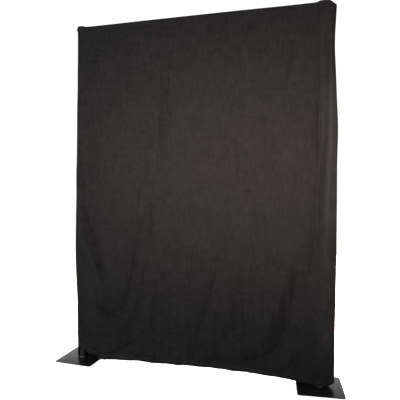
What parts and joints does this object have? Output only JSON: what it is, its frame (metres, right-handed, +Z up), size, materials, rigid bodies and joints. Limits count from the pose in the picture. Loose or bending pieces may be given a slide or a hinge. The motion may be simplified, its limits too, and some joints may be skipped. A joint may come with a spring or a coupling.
{
  "type": "free-standing cloth room divider",
  "caption": "Free-standing room divider: a black cloth slip cover over a tube frame of sectioned posts and a top bar, on square steel base plates.",
  "frame": {"origin": "on the floor, half way between the two posts", "axes": "+X along the screen to the right as seen from the front, front faces -Y, +Z up"},
  "size_m": [2.0102, 0.3144, 2.4378],
  "materials": {
    "cloth": "matte brushed cotton",
    "plate_paint": "semi-gloss black powder coat",
    "tube": "black anodised, satin",
    "zinc_steel": "bright zinc plate",
    "plastic": "black moulded nylon",
    "rubber": "matte black rubber"
  },
  "bodies": {
    "frame": {"left_post_lower": "tube", "left_post_middle": "tube", "left_post_upper": "tube", "left_lower_coupler": "zinc_steel", "left_upper_coupler": "zinc_steel", "left_post_rivets": "zinc_steel", "left_button_springs": "zinc_steel", "left_top_plug": "zinc_steel", "left_top_stud": "zinc_steel", "left_saddle": "plastic", "left_nut_washer": "plastic", "left_bar_cap": "plastic", "right_post_lower": "tube", "right_post_middle": "tube", "right_post_upper": "tube", "right_lower_coupler": "zinc_steel", "right_upper_coupler": "zinc_steel", "right_post_rivets": "zinc_steel", "right_button_springs": "zinc_steel", "right_top_plug": "zinc_steel", "right_top_stud": "zinc_steel", "right_saddle": "plastic", "right_nut_washer": "plastic", "right_bar_cap": "plastic", "bar_left_section": "tube", "bar_middle_section": "tube", "bar_right_section": "tube", "bar_left_coupler": "zinc_steel", "bar_right_coupler": "zinc_steel", "bar_rivets": "zinc_steel", "bar_button_springs": "zinc_steel"},
    "left_base": {"left_base_plate": "plate_paint", "left_feet_pads": "rubber", "left_plate_screw": "zinc_steel", "left_base_pin": "zinc_steel", "left_bearing_ring": "plastic"},
    "right_base": {"right_base_plate": "plate_paint", "right_feet_pads": "rubber", "right_plate_screw": "zinc_steel", "right_base_pin": "zinc_steel", "right_bearing_ring": "plastic"},
    "left_nut": {"left_thumb_nut": "plastic"},
    "right_nut": {"right_thumb_nut": "plastic"},
    "left_lower_snap": {"left_lower_button": "zinc_steel"},
    "left_upper_snap": {"left_upper_button": "zinc_steel"},
    "right_lower_snap": {"right_lower_button": "zinc_steel"},
    "right_upper_snap": {"right_upper_button": "zinc_steel"},
    "bar_left_snap": {"bar_left_button": "zinc_steel"},
    "bar_right_snap": {"bar_right_button": "zinc_steel"},
    "cover": {"cover_front": "cloth", "cover_back": "cloth", "cover_left_side": "cloth", "cover_right_side": "cloth", "cover_top": "cloth", "cover_front_hem": "cloth", "cover_back_hem": "cloth"}
  },
  "joints": [
    {"name": "left_base_swivel", "type": "hinge", "parent": "frame", "child": "left_base", "pos_m": [-0.852, 0, 0.0065], "axis": [0, 0, 1], "continuous": true},
    {"name": "right_base_swivel", "type": "hinge", "parent": "frame", "child": "right_base", "pos_m": [0.852, 0, 0.0065], "axis": [0, 0, 1], "continuous": true},
    {"name": "left_nut_turn", "type": "hinge", "parent": "frame", "child": "left_nut", "pos_m": [-0.852, 0, 2.4313], "axis": [0, 0, 1], "continuous": true},
    {"name": "right_nut_turn", "type": "hinge", "parent": "frame", "child": "right_nut", "pos_m": [0.852, 0, 2.4313], "axis": [0, 0, 1], "continuous": true},
    {"name": "left_lower_press", "type": "slide", "parent": "frame", "child": "left_lower_snap", "axis": [-1, 0, 0], "range_m": [0, 0.0046], "stiffness_N_per_m": 500, "springref_m": -0.003},
    {"name": "left_upper_press", "type": "slide", "parent": "frame", "child": "left_upper_snap", "axis": [-1, 0, 0], "range_m": [0, 0.0046], "stiffness_N_per_m": 500, "springref_m": -0.003},
    {"name": "right_lower_press", "type": "slide", "parent": "frame", "child": "right_lower_snap", "axis": [1, 0, 0], "range_m": [0, 0.0046], "stiffness_N_per_m": 500, "springref_m": -0.003},
    {"name": "right_upper_press", "type": "slide", "parent": "frame", "child": "right_upper_snap", "axis": [1, 0, 0], "range_m": [0, 0.0046], "stiffness_N_per_m": 500, "springref_m": -0.003},
    {"name": "bar_left_press", "type": "slide", "parent": "frame", "child": "bar_left_snap", "axis": [0, 0, 1], "range_m": [0, 0.0046], "stiffness_N_per_m": 500, "springref_m": -0.003},
    {"name": "bar_right_press", "type": "slide", "parent": "frame", "child": "bar_right_snap", "axis": [0, 0, 1], "range_m": [0, 0.0046], "stiffness_N_per_m": 500, "springref_m": -0.003},
    {"name": "cover_lift_off", "type": "slide", "parent": "frame", "child": "cover", "axis": [0, 0, 1], "range_m": [0, 2.45]}
  ]
}
